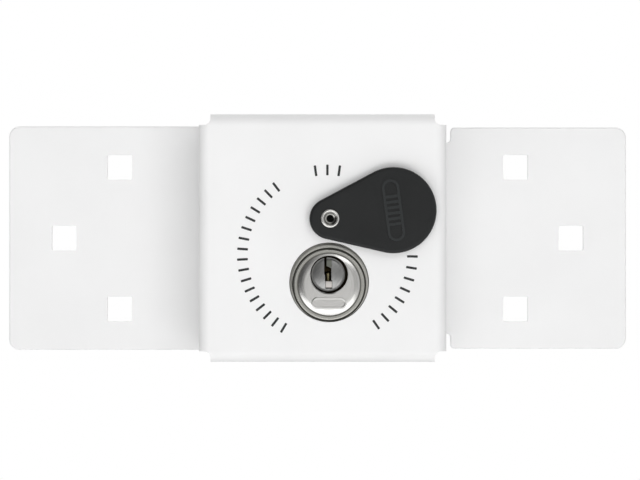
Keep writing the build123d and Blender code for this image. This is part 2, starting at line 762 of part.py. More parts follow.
# Pins at the shear line, as a key in the plug would hold them, and their springs
key_pin_bottom = plug_z - sqrt(plug_radius**2 - pin_radius**2) + running_clearance
driver_top = plug_z - bore_radius - pin_shear_gap
spring_top = driver_top - driver_length
spring_bottom = plug_z - strip_top
coil_radius = pin_radius - spring_wire_radius
for i, depth in enumerate(pin_depths):
    with BuildPart() as key_pin:
        key_pin_length = plug_z + key_pin_tops[i] - key_pin_bottom
        with BuildSketch(Plane(origin=(disc_x, -depth, key_pin_bottom))):
            Circle(pin_radius)
        extrude(amount=key_pin_length)
        chamfer(key_pin.edges().sort_by(Axis.Z)[-1], pin_tip_length)
    finish(key_pin, f"key_pin_{i + 1}")

    with BuildPart() as driver_pin:
        with BuildSketch(Plane(origin=(disc_x, -depth, spring_top))):
            Circle(pin_radius)
        extrude(amount=driver_length)
    finish(driver_pin, f"driver_pin_{i + 1}")

    with BuildPart() as pin_spring:
        free_length = spring_top - spring_bottom - 2 * spring_wire_radius - 2 * running_clearance
        coil_base = (disc_x, -depth, spring_bottom + spring_wire_radius + running_clearance)
        with BuildLine(Plane(origin=coil_base)) as coil:
            Helix(pitch=free_length / spring_turns, height=free_length, radius=coil_radius)
        with BuildSketch(Plane(origin=coil.line @ 0, z_dir=coil.line % 0)):
            Circle(spring_wire_radius)
        sweep(is_frenet=True)
    finish(pin_spring, f"pin_spring_{i + 1}")

# Fixing screws: countersunk, from the door side into the core
for i, (x, z) in enumerate(countersunk_places()):
    head_height = screw_head_radius - screw_radius
    screw_point = screw_radius / 3
    with BuildPart() as disc_screw:
        with BuildSketch(turning_plane(disc_x + x, z)):
            with BuildLine():
                Polyline(
                    (0, screw_head_recess),
                    (screw_head_radius - screw_head_recess - screw_thread_clearance, screw_head_recess),
                    (screw_radius, head_height + screw_thread_clearance),
                    (screw_radius, screw_length - screw_point),
                    (screw_radius - screw_point, screw_length),
                    (0, screw_length),
                    close=True,
                )
            make_face()
        revolve(axis=turning_axis(disc_x + x, z))
        with BuildSketch(front_plane(screw_head_recess, disc_x + x, z)):
            RegularPolygon(screw_socket_width / 2, 6, major_radius=False)
        extrude(amount=screw_socket_depth, mode=Mode.SUBTRACT)
    finish(disc_screw, f"disc_screw_{i + 1}")

# Keyhole cap: cup, groove round the boss, boss with its ring and dome, pill and plug hole
ring_inner = boss_radius - ring_width
dome_radius = ring_inner - ring_groove_width
dome_flat_radius = dome_radius - dome_shoulder_width
with BuildPart() as keyhole_cap:
    with BuildSketch(turning_plane(cap_x, cap_z)) as section:
        with BuildLine():
            Polyline(
                (0, cap_rim_depth),
                (0, cap_face_back),
                (cap_recess_radius, cap_face_back),
                (cap_recess_radius, disc_front_depth),
                (cap_radius + cap_flange_width, disc_front_depth),
                (cap_radius + cap_flange_width, disc_front_depth + cap_flange_thickness),
                (cap_radius, disc_front_depth + cap_flange_thickness),
                (cap_radius, cap_rim_depth),
                close=True,
            )
        make_face()
        rim_corners = section.vertices().filter_by(lambda v: abs(v.X - cap_radius) < match_tolerance)
        fillet(rim_corners.sort_by(Axis.Y)[-1], cap_shoulder_radius)
    revolve(axis=turning_axis(cap_x, cap_z))
    with BuildSketch(turning_plane(cap_x, boss_z)):
        with Locations((boss_radius, cap_rim_depth)):
            Rectangle(boss_groove_width, 2 * boss_groove_depth, align=(Align.MIN, Align.CENTER))
    revolve(axis=turning_axis(cap_x, boss_z), mode=Mode.SUBTRACT)
    with BuildSketch(turning_plane(cap_x, boss_z)) as section:
        with BuildLine():
            Polyline(
                (0, dome_top_depth),
                (0, cap_rim_depth - boss_groove_depth),
                (boss_radius, cap_rim_depth - boss_groove_depth),
                (boss_radius, ring_depth),
                (ring_inner, ring_depth),
                (ring_inner, ring_depth - ring_groove_depth),
                (dome_radius, ring_depth - ring_groove_depth),
                (dome_radius, dome_edge_depth),
            )
            dome_flat_edge = (dome_flat_radius, dome_flat_depth)
            TangentArc(dome_flat_edge, (dome_radius, dome_edge_depth), tangent=(1, 0))
            crown_middle = (dome_flat_radius / 2, dome_top_depth - dome_crown_rise / 4)
            ThreePointArc(dome_flat_edge, crown_middle, (0, dome_top_depth))
        make_face()
        boss_corners = section.vertices().filter_by(lambda v: abs(v.X - boss_radius) < match_tolerance)
        fillet(boss_corners.sort_by(Axis.Y)[-1], boss_edge_radius)
    revolve(axis=turning_axis(cap_x, boss_z))
    with BuildSketch(front_plane(cap_face_back, cap_x, boss_z - pill_drop)):
        SlotOverall(pill_length, pill_height)
    extrude(amount=dome_flat_depth + pill_rise - cap_face_back)
    with BuildSketch(front_plane(dome_flat_depth + pill_rise - pill_floor_drop, cap_x, boss_z - pill_drop)):
        SlotOverall(pill_length - 2 * pill_rim, pill_height - 2 * pill_rim)
    extrude(amount=pill_floor_drop, mode=Mode.SUBTRACT)
    plug_hole_radius = plug_head_radius + plug_hole_gap
    with BuildSketch(front_plane(cap_face_back, cap_x, plug_z)):
        Circle(plug_hole_radius)
    extrude(amount=dome_top_depth - cap_face_back, mode=Mode.SUBTRACT)
    with BuildSketch(turning_plane(cap_x, plug_z)):
        with BuildLine():
            bevel_depth = dome_flat_depth - plug_hole_chamfer
            bevel_rise = dome_top_depth - bevel_depth
            Polyline(
                (0, bevel_depth),
                (plug_hole_radius, bevel_depth),
                (plug_hole_radius + bevel_rise, dome_top_depth),
                (0, dome_top_depth),
                close=True,
            )
        make_face()
    revolve(axis=turning_axis(cap_x, plug_z), mode=Mode.SUBTRACT)
finish(keyhole_cap, "keyhole_cap")

# Keyhole cover: teardrop lid, swung open, with a ribbed grip on its big end
cover_direction = (cos(radians(cover_open_angle)), 0, sin(radians(cover_open_angle)))
cover_plane = Plane(origin=(rivet_x, -cover_back, rivet_z), x_dir=cover_direction, z_dir=(0, -1, 0))
with BuildPart() as keyhole_cover:
    with BuildSketch(cover_plane) as teardrop:
        Circle(cover_small_radius)
        with Locations((cover_length, 0)):
            Circle(cover_big_radius)
        make_hull()
    extrude(amount=cover_thickness)
    top_edges = keyhole_cover.faces().sort_by(Axis.Y)[0].edges()
    fillet(top_edges, cover_edge_radius)
    with BuildSketch(cover_plane):
        with Locations((cover_length, 0)):
            Circle(cover_big_radius - cover_pocket_wall)
    extrude(amount=cover_pocket_depth, mode=Mode.SUBTRACT)
    with BuildSketch(cover_plane.offset(cover_thickness)):
        with Locations(Location((cover_length, 0), 90)):
            SlotOverall(grip_length, grip_width)
            SlotOverall(grip_length - 2 * grip_wall, grip_width - 2 * grip_wall, mode=Mode.SUBTRACT)
        rib_pitch = (grip_length - 2 * grip_width) / (grip_rib_count - 1)
        with Locations((cover_length, 0)):
            with GridLocations(0, rib_pitch, 1, grip_rib_count):
                Rectangle(grip_width - grip_wall, grip_rib_width)
    extrude(amount=grip_rise)
    with BuildSketch(cover_plane):
        Circle(rivet_radius + running_clearance)
    extrude(amount=cover_thickness, mode=Mode.SUBTRACT)
finish(keyhole_cover, "keyhole_cover")

# Hollow rivet that the cover turns on: a rolled rim round a funnel
head_back = cover_front + rivet_head_gap
roll_inner = rivet_head_radius - rivet_roll_width
roll_foot = head_back + rivet_head_thickness / 2
with BuildPart() as cover_rivet:
    with BuildSketch(turning_plane(rivet_x, rivet_z)):
        with BuildLine():
            Polyline(
                (rivet_bore_radius, roll_foot - rivet_funnel_drop),
                (rivet_bore_radius, face_back - rivet_tail_thickness),
                (rivet_head_radius, face_back - rivet_tail_thickness),
                (rivet_head_radius, face_back),
                (rivet_radius, face_back),
                (rivet_radius, head_back),
                (rivet_head_radius, head_back),
                (rivet_head_radius, roll_foot),
            )
            roll_crown = (rivet_head_radius - rivet_roll_width / 2, head_back + rivet_head_thickness)
            ThreePointArc((rivet_head_radius, roll_foot), roll_crown, (roll_inner, roll_foot))
            Line((roll_inner, roll_foot), (rivet_bore_radius, roll_foot - rivet_funnel_drop))
        make_face()
    revolve(axis=turning_axis(rivet_x, rivet_z))
finish(cover_rivet, "cover_rivet")

# Washer under the cover
with BuildPart() as cover_washer:
    with BuildSketch(front_plane(housing_depth, rivet_x, rivet_z)):
        Circle(washer_radius)
        Circle(rivet_radius + running_clearance, mode=Mode.SUBTRACT)
    extrude(amount=cover_stand - washer_gap)
finish(cover_washer, "cover_washer")
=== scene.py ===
import json
import math

import bmesh
import bpy
from mathutils import Matrix, Vector


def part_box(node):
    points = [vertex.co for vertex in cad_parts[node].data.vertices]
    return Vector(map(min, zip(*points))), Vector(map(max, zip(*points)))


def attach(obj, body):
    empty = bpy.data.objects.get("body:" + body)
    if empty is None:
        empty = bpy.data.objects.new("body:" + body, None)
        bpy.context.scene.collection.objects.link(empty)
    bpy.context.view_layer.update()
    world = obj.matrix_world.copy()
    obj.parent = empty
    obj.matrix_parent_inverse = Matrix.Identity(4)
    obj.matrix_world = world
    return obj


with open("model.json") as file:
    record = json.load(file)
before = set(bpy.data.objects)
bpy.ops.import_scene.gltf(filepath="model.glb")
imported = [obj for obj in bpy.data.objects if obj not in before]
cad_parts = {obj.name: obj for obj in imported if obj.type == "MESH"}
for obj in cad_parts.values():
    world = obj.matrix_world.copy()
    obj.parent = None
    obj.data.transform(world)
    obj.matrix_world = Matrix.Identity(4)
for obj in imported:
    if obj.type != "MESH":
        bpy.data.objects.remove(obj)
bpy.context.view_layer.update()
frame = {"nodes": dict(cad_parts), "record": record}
nodes = frame["nodes"]

# Van door lock seen from the front. Metres: X to the right, Z up, the front faces -Y.
MM = 0.001

# Places that the finishes and the print are centred on, from the frame
cap_low, cap_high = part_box("keyhole_cap")
plug_low, plug_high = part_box("plug")
rivet_low, rivet_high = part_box("cover_rivet")
HOUSING_FACE_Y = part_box("housing")[0][1]
GRIP_TOP_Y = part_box("keyhole_cover")[0][1]
CAP_X = (cap_low[0] + cap_high[0]) / 2
CAP_Z = (cap_low[2] + cap_high[2]) / 2
PLUG_X = (plug_low[0] + plug_high[0]) / 2
PLUG_Z = (plug_low[2] + plug_high[2]) / 2
PLUG_FRONT_Y = plug_low[1]
RIVET_X = (rivet_low[0] + rivet_high[0]) / 2
RIVET_Z = (rivet_low[2] + rivet_high[2]) / 2
RIVET_RADIUS = (rivet_high[0] - rivet_low[0]) / 2

# Cover: the top of its raised grip lies within this depth of its front
GRIP_BAND = 0.1 * MM

# Cap: a boss a little below its middle, two grooves about it, each from an inner to an outer
# radius, a shoulder that turns satin outside them, and a pill below the plug
BOSS_DROP = 0.7 * MM
BOSS_Z = CAP_Z - BOSS_DROP
CAP_REACH = 13.0 * MM
RING_GROOVE = (9.7 * MM, 10.05 * MM)
BOSS_GROOVE = (11.15 * MM, 11.55 * MM)
GROOVE_EDGE = 0.12 * MM
SATIN_EDGE = 0.3 * MM
SATIN_ROUGHNESS = 0.5
PILL_LENGTH = 10.4 * MM
PILL_HEIGHT = 3.1 * MM
PILL_RIM = 0.35 * MM
PILL_STEP = 0.16 * MM
PILL_Z = BOSS_Z - 5.8 * MM

# Plug: how deep the nickel reaches, the key's entry and its pale patch, and how fast the face falls
NICKEL_DEPTH = 2.4 * MM
ENTRY_DEPTH = 0.7 * MM
ENTRY_TOLERANCE = 0.05 * MM
ENTRY_MIDDLE_X = 0.2 * MM
ENTRY_MIDDLE_Z = -3.15 * MM
ENTRY_PATCH_HALF = 0.95 * MM
CROWN_PER_RADIUS_SQUARED = 23.0

# Sizes of the patterns, as drawn. What is finer on the real thing says so where it is used.
ORANGE_PEEL = 1.1 * MM
COAT_GRAIN = 0.24 * MM
COAT_CLOUD = 36.0 * MM
POLISHING_RING = 0.31 * MM
POLISHING_SMUDGE = 6.3 * MM
MOULD_GRAIN = 0.33 * MM
MOULD_CLOUD = 11.0 * MM
SANDING_MARK = (0.2 * MM, 2.0 * MM)
SANDING_TURN = 35.0
RIVET_SPECKLE = 0.38 * MM
INK_SPECKLE = 0.4 * MM
# A noise texture's values lie mostly between these two
NOISE_LOW = 0.3
NOISE_HIGH = 0.7

# Camera: square to the face, a little over a metre away
CAMERA_X = -0.82 * MM
CAMERA_Y = -1051.0 * MM
CAMERA_Z = -0.60 * MM
FIELD_WIDTH = 201.0 * MM
SENSOR_WIDTH = 36.0

# Printed marks on the housing's face: rows of ticks around the keyhole.
# Angles are in degrees from the right, counterclockwise.
PRINT_X = 1.5 * MM
PRINT_Z = -5.3 * MM
PRINT_RADIUS = 26.7 * MM
PRINT_THICKNESS = 0.03 * MM
TICK_LENGTH = 3.4 * MM
TICK_WIDTH = 0.75 * MM
TICK_CORNER = 0.2 * MM
TICK_STEP = 7.0
LEFT_ARC = (127.0, 239.0)
RIGHT_ARC = (305.0, 359.0)
TOP_ARC = (82.0, 98.0)

# Studio: a pale floor below the lock, and a grey room in front of it for its metal to mirror
FLOOR_Z = -240.0 * MM
FLOOR_RADIUS = 400.0 * MM
FLOOR_GLOW = 0.22
ROOM_RADIUS = 3.0
ROOM_BACK_Y = -0.4
ROOM_SLOPE = (-0.97, 0.0, 0.1)
AMBIENT_LEVEL = 0.38


def linear(hex_colour):
    """Linear RGBA of an sRGB hex colour."""
    values = [int(hex_colour[i:i + 2], 16) / 255 for i in (1, 3, 5)]
    return [v / 12.92 if v <= 0.04045 else ((v + 0.055) / 1.055) ** 2.4 for v in values] + [1.0]


def add_node(tree, kind, links=None, **settings):
    """Adds a node. A setting named for an input sets that input, any other sets the node itself."""
    node = tree.nodes.new(kind)
    for name, value in settings.items():
        if hasattr(node, name):
            setattr(node, name, value)
    for name, value in settings.items():
        if not hasattr(node, name):
            node.inputs[name.replace("_", " ")].default_value = value
    for socket, source in (links or {}).items():
        tree.links.new(source, node.inputs[socket])
    return node


def new_material(name):
    """An empty node material with its output, ready for a shader."""
    material = bpy.data.materials.new(name)
    material.use_nodes = True
    tree = material.node_tree
    tree.nodes.clear()
    output = tree.nodes.new("ShaderNodeOutputMaterial")
    return material, tree, output


def set_ramp(ramp, *stops):
    """Gives a colour ramp its stops, each a position and a hex colour."""
    elements = ramp.color_ramp.elements
    while len(elements) < len(stops):
        elements.new(1.0)
    for element, (position, colour) in zip(elements, stops):
        element.position = position
        element.color = linear(colour)


def distance_from_axis(tree, place, x, z):
    """Socket with the distance from a line along Y through (x, z)."""
    centred = add_node(tree, "ShaderNodeMapping", {"Vector": place.outputs["Object"]})
    centred.inputs["Location"].default_value = (-x, 0.0, -z)
    flat = add_node(tree, "ShaderNodeVectorMath", {0: centred.outputs["Vector"]}, operation="MULTIPLY")
    flat.inputs[1].default_value = (1.0, 0.0, 1.0)
    radius = add_node(tree, "ShaderNodeVectorMath", {0: flat.outputs["Vector"]}, operation="LENGTH")
    return radius.outputs["Value"]


def white_powder_coat():
    """Polyester powder coat on steel: a low sheen with faint orange peel about 1 mm across."""
    material, tree, output = new_material("white_powder_coat")
    place = add_node(tree, "ShaderNodeTexCoord")
    peel = add_node(tree, "ShaderNodeTexNoise", {"Vector": place.outputs["Object"]},
                    Scale=1 / ORANGE_PEEL, Detail=2.0, Roughness=0.5)
    grain = add_node(tree, "ShaderNodeTexNoise", {"Vector": place.outputs["Object"]},
                     Scale=1 / COAT_GRAIN, Detail=1.0)
    cloud = add_node(tree, "ShaderNodeTexNoise", {"Vector": place.outputs["Object"]},
                     Scale=1 / COAT_CLOUD, Detail=3.0)
    tone = add_node(tree, "ShaderNodeValToRGB", {"Fac": cloud.outputs["Fac"]})
    set_ramp(tone, (NOISE_LOW, "#EFEFEF"), (NOISE_HIGH, "#F3F3F3"))
    fine = add_node(tree, "ShaderNodeBump", {"Height": grain.outputs["Fac"]},
                    Strength=0.06, Distance=0.03 * MM)
    bump = add_node(tree, "ShaderNodeBump",
                    {"Height": peel.outputs["Fac"], "Normal": fine.outputs["Normal"]},
                    Strength=0.16, Distance=0.06 * MM)
    shader = add_node(tree, "ShaderNodeBsdfPrincipled",
                      {"Base Color": tone.outputs["Color"], "Normal": bump.outputs["Normal"]},
                      Roughness=0.42, IOR=1.5)
    tree.links.new(shader.outputs["BSDF"], output.inputs["Surface"])
    return material


def pressed_pill(tree, place):
    """Bump of the pill on the cap: a soft rim about a flat floor, by the distance from its middle line."""
    centred = add_node(tree, "ShaderNodeMapping", {"Vector": place.outputs["Object"]})
    centred.inputs["Location"].default_value = (-CAP_X, 0.0, -PILL_Z)
    parts = add_node(tree, "ShaderNodeSeparateXYZ", {"Vector": centred.outputs["Vector"]})
    across = add_node(tree, "ShaderNodeMath", {0: parts.outputs["X"]}, operation="ABSOLUTE")
    past_line = add_node(tree, "ShaderNodeMath", {0: across.outputs["Value"]}, operation="SUBTRACT")
    past_line.inputs[1].default_value = (PILL_LENGTH - PILL_HEIGHT) / 2
    past_end = add_node(tree, "ShaderNodeMath", {0: past_line.outputs["Value"]}, operation="MAXIMUM")
    past_end.inputs[1].default_value = 0.0
    offset = add_node(tree, "ShaderNodeCombineXYZ",
                      {"X": past_end.outputs["Value"], "Y": parts.outputs["Z"]})
    distance = add_node(tree, "ShaderNodeVectorMath", {0: offset.outputs["Vector"]}, operation="LENGTH")
    rim = add_node(tree, "ShaderNodeMapRange", {"Value": distance.outputs["Value"]},
                   From_Min=PILL_HEIGHT / 2 - 2 * PILL_RIM, From_Max=PILL_HEIGHT / 2 + PILL_RIM)
    height = add_node(tree, "ShaderNodeValToRGB", {"Fac": rim.outputs["Result"]})
    set_ramp(height, (0.0, "#808080"), (0.3, "#808080"), (0.55, "#FFFFFF"), (0.75, "#FFFFFF"),
             (1.0, "#000000"))
    return add_node(tree, "ShaderNodeBump", {"Height": height.outputs["Color"]},
                    Strength=1.0, Distance=PILL_STEP)


def polished_stainless():
    """Pressed stainless steel, polished by turning: fine rings about the boss in a soft mirror."""
    material, tree, output = new_material("polished_stainless_steel")
    place = add_node(tree, "ShaderNodeTexCoord")
    radius = distance_from_axis(tree, place, CAP_X, BOSS_Z)
    # The real rings are about 0.05 mm wide, and are drawn coarser so that they show
    rings = add_node(tree, "ShaderNodeTexNoise", {"W": radius},
                     noise_dimensions="1D", Scale=1 / POLISHING_RING, Detail=3.0, Roughness=0.6)
    smudge = add_node(tree, "ShaderNodeTexNoise", {"Vector": place.outputs["Object"]},
                      Scale=1 / POLISHING_SMUDGE, Detail=4.0, Roughness=0.6)
    rough = add_node(tree, "ShaderNodeMapRange", {"Value": smudge.outputs["Fac"]},
                     From_Min=NOISE_LOW, From_Max=NOISE_HIGH, To_Min=0.18, To_Max=0.26)
    # The shoulder outside the boss is left satin
    satin = add_node(tree, "ShaderNodeMapRange", {"Value": radius}, From_Min=BOSS_GROOVE[1],
                     From_Max=BOSS_GROOVE[1] + SATIN_EDGE, To_Min=0.0, To_Max=SATIN_ROUGHNESS)
    finish = add_node(tree, "ShaderNodeMath", {0: rough.outputs["Result"], 1: satin.outputs["Result"]},
                      operation="MAXIMUM")
    steel = add_node(tree, "ShaderNodeValToRGB", {"Fac": rings.outputs["Fac"]})
    set_ramp(steel, (NOISE_LOW, "#CDCCCA"), (NOISE_HIGH, "#DFDEDC"))
    # Painted shade: the two grooves are painted dark, and the shoulder outside the inner groove a little
    # darker
    outward = add_node(tree, "ShaderNodeMapRange", {"Value": radius}, From_Max=CAP_REACH)
    painted_groove_shade = add_node(tree, "ShaderNodeValToRGB", {"Fac": outward.outputs["Result"]})
    stops = [(0.0, "#FFFFFF")]
    for (inner, outer), before, bottom in ((RING_GROOVE, "#FFFFFF", "#8A8A86"),
                                           (BOSS_GROOVE, "#D6D6D2", "#484844")):
        stops += [((inner - GROOVE_EDGE) / CAP_REACH, before), (inner / CAP_REACH, bottom)]
        stops += [(outer / CAP_REACH, bottom), ((outer + GROOVE_EDGE) / CAP_REACH, "#D6D6D2")]
    set_ramp(painted_groove_shade, *stops)
    tone = add_node(tree, "ShaderNodeMix", {"A": steel.outputs["Color"], "B": painted_groove_shade.outputs["Color"]},
                    data_type="RGBA", blend_type="MULTIPLY")
    tone.inputs["Factor"].default_value = 1.0
    pill = pressed_pill(tree, place)
    bump = add_node(tree, "ShaderNodeBump",
                    {"Height": rings.outputs["Fac"], "Normal": pill.outputs["Normal"]},
                    Strength=0.1, Distance=0.02 * MM)
    shader = add_node(tree, "ShaderNodeBsdfPrincipled",
                      {"Base Color": tone.outputs["Result"], "Roughness": finish.outputs["Value"],
                       "Normal": bump.outputs["Normal"]}, Metallic=1.0)
    tree.links.new(shader.outputs["BSDF"], output.inputs["Surface"])
    return material


def moulded_black():
    """Moulded black polyamide with a spark-eroded grain: near black, soft sheen, no gloss."""
    material, tree, output = new_material("black_moulded_polyamide")
    place = add_node(tree, "ShaderNodeTexCoord")
    # The real grain is about 0.1 mm, and is drawn coarser so that it shows
    grain = add_node(tree, "ShaderNodeTexNoise", {"Vector": place.outputs["Object"]},
                     Scale=1 / MOULD_GRAIN, Detail=2.0, Roughness=0.6)
    cloud = add_node(tree, "ShaderNodeTexNoise", {"Vector": place.outputs["Object"]},
                     Scale=1 / MOULD_CLOUD, Detail=3.0)
    tone = add_node(tree, "ShaderNodeValToRGB", {"Fac": cloud.outputs["Fac"]})
    set_ramp(tone, (NOISE_LOW, "#0E1011"), (NOISE_HIGH, "#131516"))
    bump = add_node(tree, "ShaderNodeBump", {"Height": grain.outputs["Fac"]},
                    Strength=0.35, Distance=0.06 * MM)
    # Painted highlight: the top of the raised grip is painted a little paler
    parts = add_node(tree, "ShaderNodeSeparateXYZ", {"Vector": place.outputs["Object"]})
    raised = add_node(tree, "ShaderNodeMath", {0: parts.outputs["Y"]}, operation="LESS_THAN")
    raised.inputs[1].default_value = GRIP_TOP_Y + GRIP_BAND
    painted_grip_highlight = add_node(tree, "ShaderNodeMix",
                     {"Factor": raised.outputs["Value"], "A": tone.outputs["Color"]}, data_type="RGBA")
    painted_grip_highlight.inputs["B"].default_value = linear("#202324")
    shader = add_node(tree, "ShaderNodeBsdfPrincipled",
                      {"Base Color": painted_grip_highlight.outputs["Result"], "Normal": bump.outputs["Normal"]},
                      Roughness=0.46, IOR=1.42)
    tree.links.new(shader.outputs["BSDF"], output.inputs["Surface"])
    return material


def worked_metal(name, dark, light, roughness, speckle_size, bump_strength):
    """A mottled bare or plated metal, with speckles of the given size."""
    material, tree, output = new_material(name)
    place = add_node(tree, "ShaderNodeTexCoord")
    speckle = add_node(tree, "ShaderNodeTexNoise", {"Vector": place.outputs["Object"]},
                       Scale=1 / speckle_size, Detail=4.0, Roughness=0.6)
    tone = add_node(tree, "ShaderNodeValToRGB", {"Fac": speckle.outputs["Fac"]})
    set_ramp(tone, (NOISE_LOW, dark), (NOISE_HIGH, light))
    rough = add_node(tree, "ShaderNodeMapRange", {"Value": speckle.outputs["Fac"]},
                     From_Min=NOISE_LOW, From_Max=NOISE_HIGH,
                     To_Min=roughness - 0.05, To_Max=roughness + 0.08)
    bump = add_node(tree, "ShaderNodeBump", {"Height": speckle.outputs["Fac"]},
                    Strength=bump_strength, Distance=0.03 * MM)
    shader = add_node(tree, "ShaderNodeBsdfPrincipled",
                      {"Base Color": tone.outputs["Color"], "Roughness": rough.outputs["Result"],
                       "Normal": bump.outputs["Normal"]}, Metallic=1.0)
    tree.links.new(shader.outputs["BSDF"], output.inputs["Surface"])
    return material


def bright_nickel():
    """Bright nickel on the rolled rivet: an unmarked mirror on the roll, with rings of painted shade and
    painted reflection in its throat.
    """
    material, tree, output = new_material("bright_nickel_plate")
    place = add_node(tree, "ShaderNodeTexCoord")
    speckle = add_node(tree, "ShaderNodeTexNoise", {"Vector": place.outputs["Object"]},
                       Scale=1 / RIVET_SPECKLE, Detail=4.0, Roughness=0.6)
    plate = add_node(tree, "ShaderNodeValToRGB", {"Fac": speckle.outputs["Fac"]})
    set_ramp(plate, (NOISE_LOW, "#D6D5D2"), (NOISE_HIGH, "#E0DFDD"))
    # Painted shade and painted reflection: dark and bright rings in the throat, out to two thirds of the
    # radius
    radius = distance_from_axis(tree, place, RIVET_X, RIVET_Z)
    outward = add_node(tree, "ShaderNodeMapRange", {"Value": radius}, From_Max=RIVET_RADIUS)
    rings = add_node(tree, "ShaderNodeValToRGB", {"Fac": outward.outputs["Result"]})
    set_ramp(rings, (0.38, "#6A6A68"), (0.48, "#E0E0DE"), (0.57, "#5C5C5A"), (0.66, "#8E8E8C"),
             (0.72, "#FFFFFF"))
    tone = add_node(tree, "ShaderNodeMix", {"A": plate.outputs["Color"], "B": rings.outputs["Color"]},
                    data_type="RGBA", blend_type="MULTIPLY")
    tone.inputs["Factor"].default_value = 1.0
    rough = add_node(tree, "ShaderNodeMapRange", {"Value": speckle.outputs["Fac"]},
                     From_Min=NOISE_LOW, From_Max=NOISE_HIGH, To_Min=0.15, To_Max=0.28)
    bump = add_node(tree, "ShaderNodeBump", {"Height": speckle.outputs["Fac"]},
                    Strength=0.02, Distance=0.03 * MM)
    shader = add_node(tree, "ShaderNodeBsdfPrincipled",
                      {"Base Color": tone.outputs["Result"], "Roughness": rough.outputs["Result"],
                       "Normal": bump.outputs["Normal"]}, Metallic=1.0)
    tree.links.new(shader.outputs["BSDF"], output.inputs["Surface"])
    return material


def nickel_faced_brass():
    """Brass plug with a satin nickel head: grey and finely sanded in front, darker brass deeper in the
    keyway.
    """
    material, tree, output = new_material("nickel_faced_brass")
    place = add_node(tree, "ShaderNodeTexCoord")
    parts = add_node(tree, "ShaderNodeSeparateXYZ", {"Vector": place.outputs["Object"]})
    front = add_node(tree, "ShaderNodeMath", {0: parts.outputs["Y"]}, operation="LESS_THAN")
    front.inputs[1].default_value = PLUG_FRONT_Y + NICKEL_DEPTH
    # The real sanding marks are under 0.1 mm wide, and are drawn coarser so that they show
    sanded = add_node(tree, "ShaderNodeMapping", {"Vector": place.outputs["Object"]},
                      vector_type="TEXTURE")
    sanded.inputs["Rotation"].default_value = (0.0, math.radians(SANDING_TURN), 0.0)
    sanded.inputs["Scale"].default_value = (SANDING_MARK[0], SANDING_MARK[1], SANDING_MARK[1])
    scratch = add_node(tree, "ShaderNodeTexNoise", {"Vector": sanded.outputs["Vector"]},
                       Scale=1.0, Detail=3.0)
    nickel = add_node(tree, "ShaderNodeValToRGB", {"Fac": scratch.outputs["Fac"]})
    set_ramp(nickel, (NOISE_LOW, "#898989"), (NOISE_HIGH, "#9D9D9C"))
    # The floor of the key's entry: a pale patch at its lower end, painted shade about it and along its
    # edges below, and grey above
    entry = add_node(tree, "ShaderNodeMath", {0: parts.outputs["Y"]}, operation="COMPARE")
    entry.inputs[1].default_value = PLUG_FRONT_Y + ENTRY_DEPTH
    entry.inputs[2].default_value = ENTRY_TOLERANCE
    entry_patch_x = add_node(tree, "ShaderNodeMath", {0: parts.outputs["X"]}, operation="COMPARE")
    entry_patch_x.inputs[1].default_value = PLUG_X + ENTRY_MIDDLE_X
    entry_patch_x.inputs[2].default_value = ENTRY_PATCH_HALF
    entry_patch_z = add_node(tree, "ShaderNodeMath", {0: parts.outputs["Z"]}, operation="COMPARE")
    entry_patch_z.inputs[1].default_value = PLUG_Z + ENTRY_MIDDLE_Z
    entry_patch_z.inputs[2].default_value = ENTRY_PATCH_HALF
    entry_patch = add_node(tree, "ShaderNodeMath", {0: entry_patch_x.outputs["Value"], 1: entry_patch_z.outputs["Value"]},
                     operation="MULTIPLY")
    upper = add_node(tree, "ShaderNodeMath", {0: parts.outputs["Z"]}, operation="GREATER_THAN")
    upper.inputs[1].default_value = PLUG_Z
    edge_shade_and_upper_grey = add_node(tree, "ShaderNodeMix", {"Factor": upper.outputs["Value"]}, data_type="RGBA")
    edge_shade_and_upper_grey.inputs["A"].default_value = linear("#33302C")
    edge_shade_and_upper_grey.inputs["B"].default_value = linear("#7B7D76")
    entry_floor = add_node(tree, "ShaderNodeMix",
                      {"Factor": entry_patch.outputs["Value"], "A": edge_shade_and_upper_grey.outputs["Result"]}, data_type="RGBA")
    entry_floor.inputs["B"].default_value = linear("#A19D9A")
    head = add_node(tree, "ShaderNodeMix", {"Factor": entry.outputs["Value"], "A": nickel.outputs["Color"],
                                            "B": entry_floor.outputs["Result"]}, data_type="RGBA")
    tone = add_node(tree, "ShaderNodeMix",
                    {"Factor": front.outputs["Value"], "B": head.outputs["Result"]}, data_type="RGBA")
    tone.inputs["A"].default_value = linear("#5E5238")
    # The face is shaded as crowned by a little over half a millimetre, which spreads its reflections
    radius = distance_from_axis(tree, place, PLUG_X, PLUG_Z)
    fall = add_node(tree, "ShaderNodeMath", {0: radius, 1: radius}, operation="MULTIPLY")
    crown = add_node(tree, "ShaderNodeBump", {"Height": fall.outputs["Value"]},
                     Strength=1.0, Distance=CROWN_PER_RADIUS_SQUARED, invert=True)
    bump = add_node(tree, "ShaderNodeBump",
                    {"Height": scratch.outputs["Fac"], "Normal": crown.outputs["Normal"]},
                    Strength=0.15, Distance=0.02 * MM)
    shader = add_node(tree, "ShaderNodeBsdfPrincipled",
                      {"Base Color": tone.outputs["Result"], "Normal": bump.outputs["Normal"]},
                      Metallic=1.0, Roughness=0.3)
    tree.links.new(shader.outputs["BSDF"], output.inputs["Surface"])
    return material


def black_ink():
    """Pad-printed ink: a thin black film with slightly uneven cover."""
    material, tree, output = new_material("black_printing_ink")
    place = add_node(tree, "ShaderNodeTexCoord")
    cover = add_node(tree, "ShaderNodeTexNoise", {"Vector": place.outputs["Object"]},
                     Scale=1 / INK_SPECKLE, Detail=2.0)
    tone = add_node(tree, "ShaderNodeValToRGB", {"Fac": cover.outputs["Fac"]})
    set_ramp(tone, (0.0, "#161718"), (1.0, "#2A2B2C"))
    shader = add_node(tree, "ShaderNodeBsdfPrincipled", {"Base Color": tone.outputs["Color"]},
                      Roughness=0.5, IOR=1.5)
    tree.links.new(shader.outputs["BSDF"], output.inputs["Surface"])
    return material


